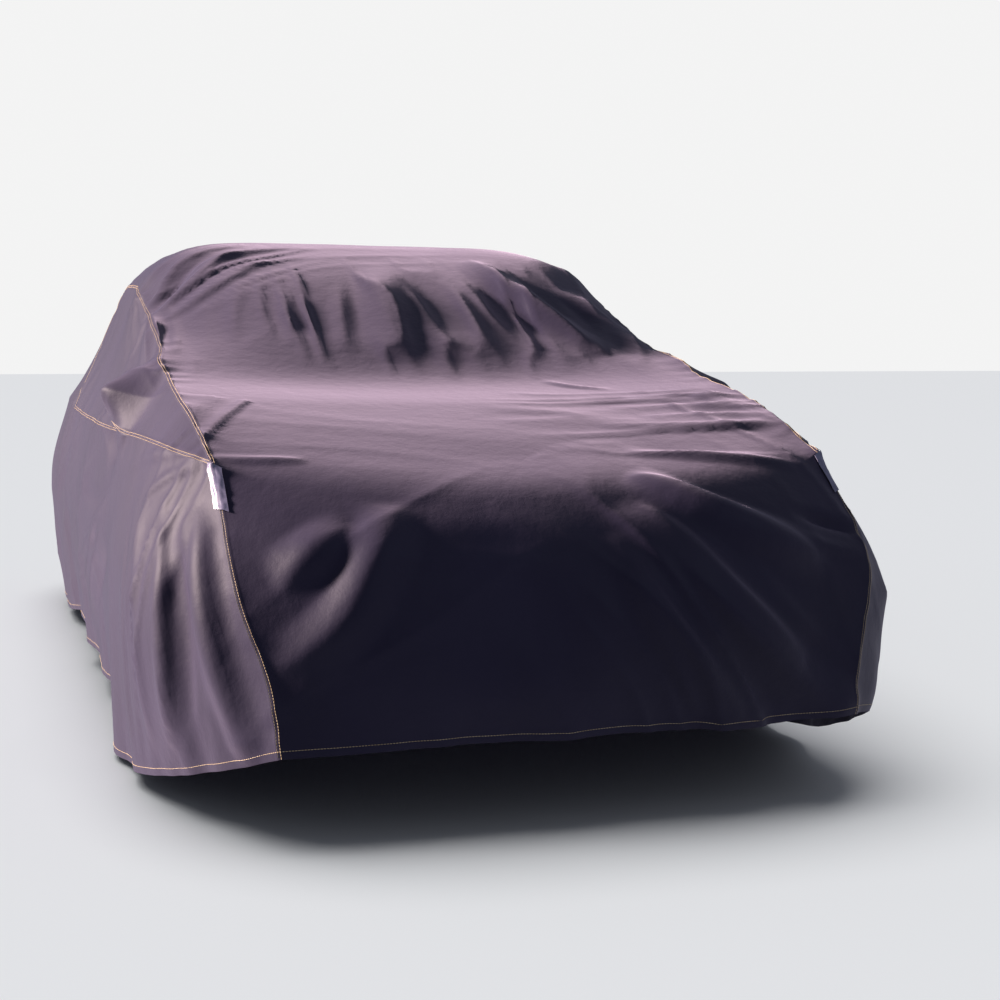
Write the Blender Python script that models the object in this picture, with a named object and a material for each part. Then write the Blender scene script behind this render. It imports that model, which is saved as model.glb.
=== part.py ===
"""Fitted car cover of thin navy cloth, in the shape it takes over a mid-size hatchback.

Ground frame while modelling: X to the car's left, the car's front at -Y, Z up from the ground.
The finished pieces are hung from an empty that puts the origin at the roof rest, the spot under
the top of the roof where the car carries the cover.
"""
import bpy
import numpy as np

# ---- driving sizes, in metres ----
CLOTH = 0.002            # thickness of the sheet
SEAM_GAP = 0.0005        # between two panels along a seam
PATCH_SIZE = (0.046, 0.130)
PATCH_THICKNESS = 0.001
PATCH_LIFT = 0.004       # from the cloth to the patch, which bridges its small folds
ACROSS = 18              # columns of the centre panel
ABOVE_BELT = 6           # columns of the side between the upper seam and the belt seam
BELOW_BELT = 8           # columns from the belt seam to the hem, and rows of each corner seam
UPRIGHT_SECTION = "roof_rear"  # the upright seam of the side starts at this section
ROOF_REST = (0, 0.45, 1.473)  # where the roof carries the cover, under the cloth

# Sections of the centre panel, from the front hem over the roof to the rear hem.
# crown shapes the section: about 2 is an even bow, 5 is flat with rounded shoulders.
CENTRE = (
    # name, rows to the next, y and z on the centreline, crown
    ("hem_front", 2, -2.25, 0.24, 2.6),
    ("bumper_low", 2, -2.28, 0.37, 2.6),
    ("bumper", 2, -2.27, 0.52, 2.6),
    ("grille", 2, -2.22, 0.66, 2.6),
    ("nose", 3, -2.10, 0.775, 2.4),
    ("bonnet_front", 3, -1.86, 0.865, 2.6),
    ("bonnet_rear", 4, -1.45, 0.965, 2.8),
    ("cowl", 3, -1.06, 1.035, 3.0),
    ("screen_low", 3, -0.83, 1.15, 3.0),
    ("screen_high", 3, -0.42, 1.345, 4.6),
    ("roof_front", 4, -0.10, 1.44, 6.5),
    ("roof", 4, 0.45, 1.475, 7.0),
    ("roof_rear", 4, 1.05, 1.445, 6.0),
    ("rear_window", 4, 1.50, 1.30, 4.0),
    ("boot", 3, 1.95, 1.06, 2.8),
    ("tail", 2, 2.16, 0.93, 2.4),
    ("rear_bumper", 3, 2.26, 0.66, 2.6),
    ("rear_low", 3, 2.27, 0.42, 2.6),
    ("hem_rear", 0, 2.23, 0.22, 2.6),
)

# The upper seam, between the centre panel and the sides, on the same sections.
UPPER_SEAM = (
    # name, x, y, z, y of the belt seam on the same row
    ("nose", 0.780, -1.87, 0.855, -1.87),
    ("bonnet_front", 0.790, -1.65, 0.932, -1.67),
    ("bonnet_rear", 0.800, -1.38, 0.995, -1.42),
    ("cowl", 0.790, -1.05, 1.053, -1.12),
    ("screen_low", 0.775, -0.74, 1.13, -0.88),
    ("screen_high", 0.765, -0.40, 1.215, -0.58),
    ("roof_front", 0.745, -0.02, 1.285, -0.22),
    ("roof", 0.725, 0.55, 1.325, 0.35),
    ("roof_rear", 0.705, 1.10, 1.305, 0.95),
    ("rear_window", 0.705, 1.46, 1.19, 1.36),
    ("boot", 0.750, 1.80, 1.01, 1.76),
    ("tail", 0.780, 1.97, 0.89, 1.97),
)

# Upright sections of the side, from the front corner seam to the rear corner seam.
SIDE = (
    # y of the belt seam, then its x and z, and x, y, z of the widest line, the sill and the hem
    (-1.87, 0.780, 0.855, 0.760, -2.10, 0.56, 0.705, -2.18, 0.37, 0.690, -2.20, 0.225),
    (-1.66, 0.845, 0.875, 0.915, -1.80, 0.56, 0.895, -1.86, 0.30, 0.850, -1.88, 0.12),
    (-1.35, 0.885, 0.885, 0.955, -1.38, 0.58, 0.950, -1.40, 0.28, 0.930, -1.40, 0.03),
    (-0.80, 0.905, 0.875, 0.950, -0.80, 0.58, 0.945, -0.78, 0.30, 0.925, -0.76, 0.06),
    (0.00, 0.910, 0.865, 0.950, 0.00, 0.56, 0.940, 0.00, 0.30, 0.915, 0.00, 0.08),
    (0.80, 0.910, 0.865, 0.955, 0.80, 0.56, 0.940, 0.80, 0.30, 0.915, 0.80, 0.08),
    (1.35, 0.905, 0.880, 0.965, 1.38, 0.58, 0.950, 1.40, 0.28, 0.920, 1.40, 0.04),
    (1.75, 0.860, 0.885, 0.930, 1.84, 0.56, 0.890, 1.88, 0.30, 0.830, 1.90, 0.12),
    (1.97, 0.780, 0.890, 0.785, 2.12, 0.56, 0.735, 2.15, 0.37, 0.700, 2.14, 0.22),
)

# Where something under the cloth holds it out, or where it hangs slack: the push at the place
# fades to nothing at the reach.
PUSHES = (
    # name, x, y, z, push in x, y, z, reach
    ("mirror_right", -0.89, -0.93, 0.97, -0.12, -0.04, 0.06, 0.20),
    ("mirror_left", 0.91, -0.94, 0.96, 0.15, -0.03, 0.06, 0.22),
    ("slack_corner_left", 0.84, -1.98, 0.50, 0.09, -0.04, 0.00, 0.50),
    ("slack_hem_left", 0.80, -2.05, 0.20, 0.05, -0.05, 0.05, 0.35),
    ("slack_pillar_left", 0.70, -0.20, 1.33, 0.05, -0.02, 0.04, 0.50),
    ("slack_roof_right", -0.70, -0.10, 1.36, -0.03, 0.00, 0.03, 0.40),
)

# Main folds: ridges with a positive height and troughs with a negative one.
FOLDS = (
    # name, half width, points of x, y, z and height
    ("bumper_strong", 0.09, ((0.20, -2.02, 0.82, 0.0), (0.35, -2.12, 0.74, 0.04),
                             (0.49, -2.15, 0.68, 0.045), (0.68, -2.15, 0.60, 0.0))),
    ("bumper_long", 0.10, ((0.13, -2.12, 0.76, 0.0), (0.34, -2.25, 0.53, 0.03),
                           (0.66, -2.22, 0.26, 0.03))),
    ("bumper_short", 0.09, ((0.18, -2.13, 0.75, 0.0), (0.40, -2.22, 0.53, 0.02),
                            (0.60, -2.23, 0.40, 0.0))),
    ("bumper_inner", 0.10, ((0.08, -2.19, 0.69, 0.0), (0.21, -2.27, 0.50, 0.025),
                            (0.40, -2.24, 0.25, 0.02))),
    ("bumper_hollow", 0.22, ((-0.45, -2.24, 0.55, 0.0), (-0.20, -2.26, 0.55, -0.025),
                             (0.05, -2.27, 0.55, 0.0))),
    ("swag_long", 0.09, ((-0.40, -2.08, 0.77, 0.0), (-0.45, -2.16, 0.68, 0.03),
                         (-0.53, -2.20, 0.54, 0.035), (-0.69, -2.17, 0.41, 0.0))),
    ("swag_short", 0.08, ((-0.69, -2.10, 0.61, 0.0), (-0.60, -2.11, 0.67, 0.025),
                          (-0.50, -2.11, 0.73, 0.0))),
    ("screen_ridge", 0.10, ((0.32, -0.25, 1.41, 0.0), (0.37, -0.51, 1.30, 0.03),
                            (0.45, -0.68, 1.21, 0.035), (0.57, -0.93, 1.09, 0.0))),
    ("screen_upright", 0.10, ((0.00, -0.28, 1.39, 0.0), (-0.07, -0.67, 1.23, 0.02),
                              (-0.11, -0.98, 1.07, 0.0))),
    ("pillar_swag", 0.09, ((0.59, -0.46, 1.31, 0.0), (0.67, -0.60, 1.20, 0.025),
                           (0.70, -0.90, 1.10, 0.0))),
    ("corner_ridge", 0.08, ((-0.82, -1.87, 0.76, 0.0), (-0.82, -1.97, 0.60, 0.03),
                            (-0.80, -2.04, 0.42, 0.035), (-0.76, -2.10, 0.26, 0.02))),
    ("corner_trough", 0.09, ((-0.86, -1.80, 0.74, 0.0), (-0.87, -1.90, 0.55, -0.025),
                             (-0.86, -1.93, 0.35, -0.025), (-0.83, -1.94, 0.14, -0.01))),
    ("mirror_fold", 0.09, ((-0.77, -0.46, 1.20, 0.0), (-0.84, -0.68, 1.12, 0.025),
                           (-0.95, -0.90, 1.03, 0.0))),
    ("under_mirror", 0.11, ((-0.93, -1.05, 0.90, 0.0), (-0.95, -0.88, 0.86, -0.035),
                            (-0.94, -0.60, 0.84, 0.0))),
)

# Upright folds of the hanging sides and the rear, from the widest line to the hem.
STANDING_FOLDS = (
    # side of the car, half width, then x, y of each fold and its height at the hem
    ("right", 0.13, ((0.93, -1.50, 0.02), (0.93, -1.20, 0.015), (0.94, -0.55, -0.02),
                     (0.94, 0.15, 0.02), (0.94, 0.85, -0.02), (0.94, 1.50, 0.02))),
    ("left", 0.13, ((0.92, -1.55, 0.02), (0.94, -1.05, -0.015), (0.94, -0.40, 0.02),
                    (0.94, 0.35, -0.02), (0.94, 1.10, 0.02), (0.93, 1.60, -0.015))),
    ("rear", 0.14, ((-0.45, 2.25, 0.02), (-0.10, 2.27, -0.02), (0.35, 2.26, 0.02))),
)
WIDEST_HEIGHT = 0.60
SILL_HEIGHT = 0.30


def smooth_rows(knots, rows, at):
    """A smooth curve through the rows, one for each knot, read at the places in at."""
    knots, rows, at = (np.asarray(values, float) for values in (knots, rows, at))
    step = np.diff(knots)
    slope = np.diff(rows, axis=0) / step[:, None]
    tangent = np.empty_like(rows)
    tangent[0], tangent[-1] = slope[0], slope[-1]
    weight = (step[1:] / (step[1:] + step[:-1]))[:, None]
    tangent[1:-1] = slope[:-1] * weight + slope[1:] * (1 - weight)
    span = np.clip(np.searchsorted(knots, at, side="right") - 1, 0, len(step) - 1)
    length = step[span][:, None]
    f = ((at - knots[span]) / step[span])[:, None]
    start, end = rows[span], rows[span + 1]
    return (start * (1 + 2 * f) * (1 - f) ** 2 + tangent[span] * length * f * (1 - f) ** 2
            + end * f * f * (3 - 2 * f) + tangent[span + 1] * length * f * f * (f - 1))


def distances(points):
    """Distance along a line of points, from its start."""
    return np.concatenate([[0], np.cumsum(np.linalg.norm(np.diff(points, axis=0), axis=1))])


def resample(points, count):
    """The smooth line through the points, in count even pieces."""
    along = distances(points)
    return smooth_rows(along, points, np.linspace(0, along[-1], count + 1))


class Cover:
    """The cover's surface as three grids: the centre, and each side above and below the belt."""

    def __init__(self, finer=1):
        steps = [row[1] * finer for row in CENTRE]
        names = [row[0] for row in CENTRE]
        middle = np.array([row[2:] for row in CENTRE])
        along = distances(middle[:, :2])
        places = [along[i] + (along[i + 1] - along[i]) * np.arange(count) / count
                  for i, count in enumerate(steps[:-1])]
        places = np.concatenate(places + [along[-1:]])
        nose, tail = names.index("nose"), names.index("tail")
        self.front, self.rear = sum(steps[:nose]), sum(steps[:tail])
        self.upright = sum(steps[:names.index(UPRIGHT_SECTION)]) - self.front
        body = slice(self.front, self.rear + 1)

        seam = smooth_rows(along[nose:tail + 1], [row[1:] for row in UPPER_SEAM], places[body])
        stations = smooth_rows([row[0] for row in SIDE], [row[1:] for row in SIDE], seam[:, 3])
        belt = np.stack([stations[:, 0], seam[:, 3], stations[:, 1]], 1)
        below = np.array([resample(np.vstack([belt[i], stations[i, 2:].reshape(3, 3)]),
                                   BELOW_BELT * finer) for i in range(len(belt))])
        share = np.linspace(0, 1, ABOVE_BELT * finer + 1)[None, :, None]
        above = seam[:, None, :3] * (1 - share) + belt[:, None] * share

        edge = np.vstack([below[0, :0:-1], seam[:, :3], below[-1, 1:]])
        rows = smooth_rows(along, middle, places)
        t = np.linspace(-1, 1, ACROSS * finer + 1)[None, :]
        bow = np.abs(t) ** rows[:, 2:3]
        centre = np.stack([edge[:, :1] * t,
                           rows[:, :1] + (edge[:, 1:2] - rows[:, :1]) * bow,
                           rows[:, 1:2] + (edge[:, 2:3] - rows[:, 1:2]) * bow], 2)
        mirror = np.array([-1, 1, 1])
        self.grids = {"centre": centre,
                      "above_left": above, "below_left": below,
                      "above_right": above * mirror, "below_right": below * mirror}
        for grid in self.grids.values():
            grid += pushes_at(grid.reshape(-1, 3)).reshape(grid.shape)
        normals = self.normals()
        for name, grid in self.grids.items():
            heights = fold_heights(grid.reshape(-1, 3)).reshape(grid.shape[:2] + (1,))
            grid += heights * normals[name]

    def normals(self):
        """The outward normal at every grid point, the same on both panels along a seam."""
        points = np.concatenate([grid.reshape(-1, 3) for grid in self.grids.values()])
        welded = weld(points)
        total = np.zeros((welded.max() + 1, 3))
        start = 0
        for name, grid in self.grids.items():
            ids = start + np.arange(grid[..., 0].size).reshape(grid.shape[:2])
            start += ids.size
            corners = quads(ids, name)
            face = np.cross(points[corners[:, 2]] - points[corners[:, 0]],
                            points[corners[:, 3]] - points[corners[:, 1]])
            for corner in range(4):
                np.add.at(total, welded[corners[:, corner]], face)
        total /= np.linalg.norm(total, axis=1, keepdims=True)
        shared = np.split(total[welded], np.cumsum([g[..., 0].size for g in self.grids.values()])[:-1])
        return {name: part.reshape(grid.shape)
                for (name, grid), part in zip(self.grids.items(), shared)}


def weld(points):
    """The same number for every point at the same place."""
    return np.unique(np.round(points * 1e5).astype(int), axis=0, return_inverse=True)[1].ravel()


def quads(ids, name):
    """The grid's cells, their corners anticlockwise as seen from outside the car."""
    a, b, c, d = ids[:-1, :-1], ids[:-1, 1:], ids[1:, 1:], ids[1:, :-1]
    turn = (a, d, c, b) if name.endswith("right") else (a, b, c, d)
    return np.stack([corner.ravel() for corner in turn], 1)


def pushes_at(points):
    """How far the pushes move each point."""
    total = np.zeros_like(points)
    for _, x, y, z, push_x, push_y, push_z, reach in PUSHES:
        away = np.linalg.norm(points - (x, y, z), axis=1) / reach
        total += (np.clip(1 - away, 0, 1) ** 1.5)[:, None] * (push_x, push_y, push_z)
    return total


def all_folds():
    """The main folds, then the standing folds as ridges and troughs of their own."""
    rows = [(half_width, ridge) for _, half_width, ridge in FOLDS]
    for side, half_width, folds in STANDING_FOLDS:
        across = -1 if side == "right" else 1
        for x, y, height in folds:
            rows.append((half_width, ((across * x, y, WIDEST_HEIGHT, 0.0),
                                      (across * x, y, SILL_HEIGHT, height * 0.7),
                                      (across * x, y, 0.0, height))))
    return rows


def fold_heights(points):
    """The height of the folds at each point, along the normal."""
    total = np.zeros(len(points))
    for half_width, ridge in all_folds():
        line = resample(np.array(ridge), 12)
        near = np.all((points > line[:, :3].min(0) - half_width)
                      & (points < line[:, :3].max(0) + half_width), axis=1)
        here = points[near]
        away = np.full(len(here), np.inf)
        height = np.zeros(len(here))
        for start, end in zip(line[:-1], line[1:]):
            run = end[:3] - start[:3]
            f = np.clip((here - start[:3]) @ run / (run @ run), 0, 1)
            distance = np.linalg.norm(here - start[:3] - f[:, None] * run, axis=1)
            closer = distance < away
            away[closer] = distance[closer]
            height[closer] = (start[3] + f * (end[3] - start[3]))[closer]
        total[near] += height * np.clip(1 - (away / half_width) ** 2, 0, 1) ** 2
    return total


# ---- build ----
def panel_cells(cover):
    """Each panel's points, normals and cells: the grids or parts of grids it is cut from."""
    normals = cover.normals()
    front, upright = slice(0, cover.upright + 1), slice(cover.upright, None)
    cut = {"centre_panel": (("centre", slice(None)),)}
    for side in ("left", "right"):
        cut["window_panel_" + side] = (("above_" + side, front),)
        cut["side_panel_" + side] = (("below_" + side, slice(None)), ("above_" + side, upright))
    panels = {}
    for panel, grids in cut.items():
        points, outward, cells = [], [], []
        start = 0
        for name, rows in grids:
            part = cover.grids[name][rows]
            ids = start + np.arange(part[..., 0].size).reshape(part.shape[:2])
            start += ids.size
            points.append(part.reshape(-1, 3))
            outward.append(normals[name][rows].reshape(-1, 3))
            cells.append(quads(ids, name))
        panels[panel] = np.concatenate(points), np.concatenate(outward), np.concatenate(cells)
    return panels


def triangles_of(points, cells):
    """Each cell in two triangles, across its shorter diagonal."""
    a, b, c, d = cells.T
    first = (np.linalg.norm(points[a] - points[c], axis=1)
             <= np.linalg.norm(points[b] - points[d], axis=1))[:, None]
    halves = (np.where(first, np.stack([a, b, c], 1), np.stack([a, b, d], 1)),
              np.where(first, np.stack([a, c, d], 1), np.stack([b, c, d], 1)))
    return np.concatenate(halves)


def cloth_panels(cover):
    """A closed sheet for each panel: its name, points and triangles."""
    panels = panel_cells(cover)
    everything = weld(np.concatenate([points for points, _, _ in panels.values()]))
    sheets, borders = {}, {}
    start = 0
    for name, (points, outward, cells) in panels.items():
        places = everything[start:start + len(points)]
        start += len(points)
        kept, first, local = np.unique(places, return_index=True, return_inverse=True)
        points, outward = points[first], outward[first]
        faces = local.ravel()[triangles_of(panels[name][0], cells)]
        whole = ((faces[:, 0] != faces[:, 1]) & (faces[:, 1] != faces[:, 2])
                 & (faces[:, 2] != faces[:, 0]))
        faces = faces[whole]
        edges = {(a, b) for face in faces for a, b in zip(face, np.roll(face, -1))}
        border = [(a, b) for a, b in edges if (b, a) not in edges]
        sheets[name] = points, outward, faces, sorted(border)
        for a, b in border:
            borders.setdefault(frozenset((kept[a], kept[b])), []).append((name, a, b))
    seams = {name: [] for name in sheets}
    for users in borders.values():
        if len(users) == 2:
            for name, a, b in users:
                seams[name].append((a, b))
    return {name: closed_sheet(*sheet, sorted(seams[name])) for name, sheet in sheets.items()}


def closed_sheet(points, outward, faces, border, seams):
    """The sheet's two faces and its rim, with its sewn edges drawn back by half the seam gap."""
    inward = {}
    for a, b in seams:
        run = points[b] - points[a]
        side = np.cross(outward[a] + outward[b], run)
        for end in (a, b):
            inward.setdefault(end, []).append(side / np.linalg.norm(side))
    points = points.copy()
    for end, sides in inward.items():
        between = sum(sides)
        points[end] += between * (SEAM_GAP / 2 * len(sides) / max(between @ between, 0.05))
    inner = points - CLOTH * outward
    count = len(points)
    rim = [(b, a, a + count) for a, b in border] + [(b, a + count, b + count) for a, b in border]
    return np.concatenate([points, inner]), np.concatenate([faces, faces[:, ::-1] + count, rim])


def at_distance(line, normals, distance):
    """The point and the normal that far along a line of grid points."""
    along = distances(line)
    both = np.hstack([line, normals])
    return np.array([np.interp(distance, along, both[:, k]) for k in range(6)])


def corner_patch(cover, side, columns=6, rows=10):
    """The strip over the top of a front corner seam, bent over the corner with the cloth."""
    normals = cover.normals()
    width, length = PATCH_SIZE
    below, centre = cover.grids["below_" + side], cover.grids["centre"]
    if side == "left":
        toward_centre, centre_normals = centre[:, ::-1], normals["centre"][:, ::-1]
    else:
        toward_centre, centre_normals = centre, normals["centre"]
    reach = 5
    seam_at = distances(below[0])
    points = np.empty((rows + 1, columns + 1, 3))
    outward = np.empty_like(points)
    for row, down in enumerate(np.linspace(0.002, length, rows + 1)):
        line = int(np.searchsorted(seam_at, down, side="right")) - 1
        share = (down - seam_at[line]) / (seam_at[line + 1] - seam_at[line])
        for column, across in enumerate(np.linspace(-width / 2, width / 2, columns + 1)):
            if across < 0:
                pair = [at_distance(toward_centre[cover.front - j, :reach],
                                    centre_normals[cover.front - j, :reach], -across)
                        for j in (line, line + 1)]
            else:
                pair = [at_distance(below[:reach, j], normals["below_" + side][:reach, j], across)
                        for j in (line, line + 1)]
            place = pair[0] * (1 - share) + pair[1] * share
            points[row, column], outward[row, column] = place[:3], place[3:]
    outward /= np.linalg.norm(outward, axis=2, keepdims=True)
    points += outward * (PATCH_LIFT + PATCH_THICKNESS)
    ids = np.arange(points[..., 0].size).reshape(points.shape[:2])
    if side == "left":
        ids = ids[:, ::-1]
    cells = quads(ids, "patch")
    points, outward = points.reshape(-1, 3), outward.reshape(-1, 3)
    faces = triangles_of(points, cells)
    edges = {(a, b) for face in faces for a, b in zip(face, np.roll(face, -1))}
    border = sorted((a, b) for a, b in edges if (b, a) not in edges)
    count = len(points)
    rim = [(b, a, a + count) for a, b in border] + [(b, a + count, b + count) for a, b in border]
    return (np.concatenate([points, points - PATCH_THICKNESS * outward]),
            np.concatenate([faces, faces[:, ::-1] + count, rim]))


def material(name, colour, roughness):
    made = bpy.data.materials.new(name)
    made.use_nodes = True
    shader = made.node_tree.nodes["Principled BSDF"]
    shader.inputs["Base Color"].default_value = (*colour, 1)
    shader.inputs["Roughness"].default_value = roughness
    return made


def add_piece(name, points, faces, finish, parent):
    mesh = bpy.data.meshes.new(name)
    mesh.from_pydata(points.tolist(), [], faces.tolist())
    mesh.materials.append(finish)
    mesh.shade_smooth()
    piece = bpy.data.objects.new(name, mesh)
    bpy.context.scene.collection.objects.link(piece)
    piece.parent = parent
    return piece


def main():
    for thing in list(bpy.data.objects):
        bpy.data.objects.remove(thing)
    cover = Cover()
    roof_rest = bpy.data.objects.new("roof_rest", None)
    bpy.context.scene.collection.objects.link(roof_rest)
    roof_rest.location = (0, -ROOF_REST[1], -ROOF_REST[2])
    cloth = material("navy_cloth", (0.030, 0.028, 0.075), 0.6)
    reflective = material("reflective_strip", (0.62, 0.60, 0.70), 0.4)
    for name, (points, faces) in cloth_panels(cover).items():
        add_piece(name, points, faces, cloth, roof_rest)
    for side in ("left", "right"):
        points, faces = corner_patch(cover, side)
        add_piece("corner_patch_" + side, points, faces, reflective, roof_rest)


main()
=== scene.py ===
"""Looks of the fitted car cover: thin navy cloth with its folds, seams and top-stitching.

Modelled in a ground frame (X to the car's left, front at -Y, Z up from the ground)
and then moved by ROOF_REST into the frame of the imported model.
"""

import bpy
import numpy as np
from mathutils import Matrix, Vector


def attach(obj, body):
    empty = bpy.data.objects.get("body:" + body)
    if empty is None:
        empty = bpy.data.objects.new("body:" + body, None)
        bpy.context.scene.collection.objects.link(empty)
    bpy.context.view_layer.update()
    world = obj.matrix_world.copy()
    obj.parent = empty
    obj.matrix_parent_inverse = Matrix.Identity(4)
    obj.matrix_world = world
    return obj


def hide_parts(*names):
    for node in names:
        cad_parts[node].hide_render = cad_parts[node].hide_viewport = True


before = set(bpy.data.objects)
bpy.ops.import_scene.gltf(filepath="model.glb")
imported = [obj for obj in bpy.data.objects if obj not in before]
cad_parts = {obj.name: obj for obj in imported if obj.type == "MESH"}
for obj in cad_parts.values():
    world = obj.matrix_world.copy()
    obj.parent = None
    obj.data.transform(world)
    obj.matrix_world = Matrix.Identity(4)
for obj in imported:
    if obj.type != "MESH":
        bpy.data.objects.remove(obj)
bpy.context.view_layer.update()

# ---- sizes, in metres ----
CLOTH = 0.002
SEAM_GAP = 0.0005
ROOF_REST = np.array([0, 0.45, 1.473])
PATCH_SIZE = (0.046, 0.130)
PATCH_THICKNESS = 0.001
PATCH_LIFT = 0.003
ACROSS = 18              # columns and rows of the grids before they are made finer
ABOVE_BELT = 6
BELOW_BELT = 8
UPRIGHT_SECTION = "roof_rear"
FINE_UNTIL = "roof_front"
FINE = 7          # cells in each of those, round the front and the tail
COARSE = 4        # and along the roof and the rear window
# Extra lines of points beside the seams, as far from them as these shares of a coarse cell.
BESIDE_CORNER = (0.04, 0.10)
BESIDE_UPRIGHT = (0.03, 0.08)
BESIDE_BELT = (0.1, 0.2)
BESIDE_UPPER_SEAM = (0.05, 0.10)
# The centre panel eases the bend where its edge turns down at the nose, save beside the seam.
EASING_ROUNDS = 4 * FINE * FINE
EDGE_SHARPNESS = 12

# Sections of the centre panel, from the front hem over the roof to the rear hem.
# crown shapes the section: about 2 is an even bow, 5 is flat with rounded shoulders.
CENTRE = (
    # name, rows to the next, y and z on the centreline, crown
    ("hem_front", 2, -2.25, 0.24, 2.6),
    ("bumper_low", 2, -2.28, 0.37, 2.6),
    ("bumper", 2, -2.27, 0.52, 2.6),
    ("grille", 2, -2.22, 0.66, 2.6),
    ("nose", 3, -2.10, 0.775, 2.4),
    ("bonnet_front", 3, -1.86, 0.865, 2.6),
    ("bonnet_rear", 4, -1.45, 0.965, 2.8),
    ("cowl", 3, -1.06, 1.035, 3.0),
    ("screen_low", 3, -0.83, 1.15, 3.0),
    ("screen_high", 3, -0.42, 1.345, 4.6),
    ("roof_front", 4, -0.10, 1.44, 6.5),
    ("roof", 4, 0.45, 1.475, 7.0),
    ("roof_rear", 4, 1.05, 1.445, 6.0),
    ("rear_window", 4, 1.50, 1.30, 4.0),
    ("boot", 3, 1.95, 1.06, 2.8),
    ("tail", 2, 2.16, 0.93, 2.4),
    ("rear_bumper", 3, 2.26, 0.66, 2.6),
    ("rear_low", 3, 2.27, 0.42, 2.6),
    ("hem_rear", 0, 2.23, 0.22, 2.6),
)

# The upper seam, between the centre panel and the sides, on the same sections.
UPPER_SEAM = (
    # name, x, y, z, y of the belt seam on the same row
    ("nose", 0.780, -1.87, 0.855, -1.87),
    ("bonnet_front", 0.790, -1.65, 0.932, -1.67),
    ("bonnet_rear", 0.800, -1.38, 0.995, -1.42),
    ("cowl", 0.790, -1.05, 1.053, -1.12),
    ("screen_low", 0.775, -0.74, 1.13, -0.88),
    ("screen_high", 0.765, -0.40, 1.215, -0.58),
    ("roof_front", 0.745, -0.02, 1.285, -0.22),
    ("roof", 0.725, 0.55, 1.325, 0.35),
    ("roof_rear", 0.705, 1.10, 1.305, 0.95),
    ("rear_window", 0.705, 1.46, 1.19, 1.36),
    ("boot", 0.750, 1.80, 1.01, 1.76),
    ("tail", 0.780, 1.97, 0.89, 1.97),
)

# Upright sections of the side, from the front corner seam to the rear corner seam.
SIDE = (
    # y of the belt seam, then its x and z, and x, y, z of the widest line, the sill and the hem
    (-1.87, 0.780, 0.855, 0.760, -2.10, 0.56, 0.705, -2.18, 0.37, 0.690, -2.20, 0.225),
    (-1.66, 0.845, 0.875, 0.915, -1.80, 0.56, 0.895, -1.86, 0.30, 0.850, -1.88, 0.12),
    (-1.35, 0.885, 0.885, 0.955, -1.38, 0.58, 0.950, -1.40, 0.28, 0.930, -1.40, 0.03),
    (-0.80, 0.905, 0.875, 0.950, -0.80, 0.58, 0.945, -0.78, 0.30, 0.925, -0.76, 0.06),
    (0.00, 0.910, 0.865, 0.950, 0.00, 0.56, 0.940, 0.00, 0.30, 0.915, 0.00, 0.08),
    (0.80, 0.910, 0.865, 0.955, 0.80, 0.56, 0.940, 0.80, 0.30, 0.915, 0.80, 0.08),
    (1.35, 0.905, 0.880, 0.965, 1.38, 0.58, 0.950, 1.40, 0.28, 0.920, 1.40, 0.04),
    (1.75, 0.860, 0.885, 0.930, 1.84, 0.56, 0.890, 1.88, 0.30, 0.830, 1.90, 0.12),
    (1.97, 0.780, 0.890, 0.785, 2.12, 0.56, 0.735, 2.15, 0.37, 0.700, 2.14, 0.22),
)

# Where something under the cloth holds it out, or where it hangs slack: the push at the place
# fades to nothing at the reach.
PUSHES = (
    # name, x, y, z, push in x, y, z, reach
    ("mirror_right", -0.89, -0.93, 0.97, -0.12, -0.04, 0.06, 0.20),
    ("mirror_left", 0.91, -0.94, 0.96, 0.15, -0.03, 0.06, 0.22),
    ("slack_corner_left", 0.84, -1.98, 0.50, 0.09, -0.04, 0.00, 0.50),
    ("slack_hem_left", 0.80, -2.05, 0.20, 0.05, -0.05, 0.05, 0.35),
    ("slack_pillar_left", 0.70, -0.20, 1.33, 0.05, -0.02, 0.04, 0.50),
    ("slack_roof_right", -0.70, -0.10, 1.36, -0.03, 0.00, 0.03, 0.40),
)

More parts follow.
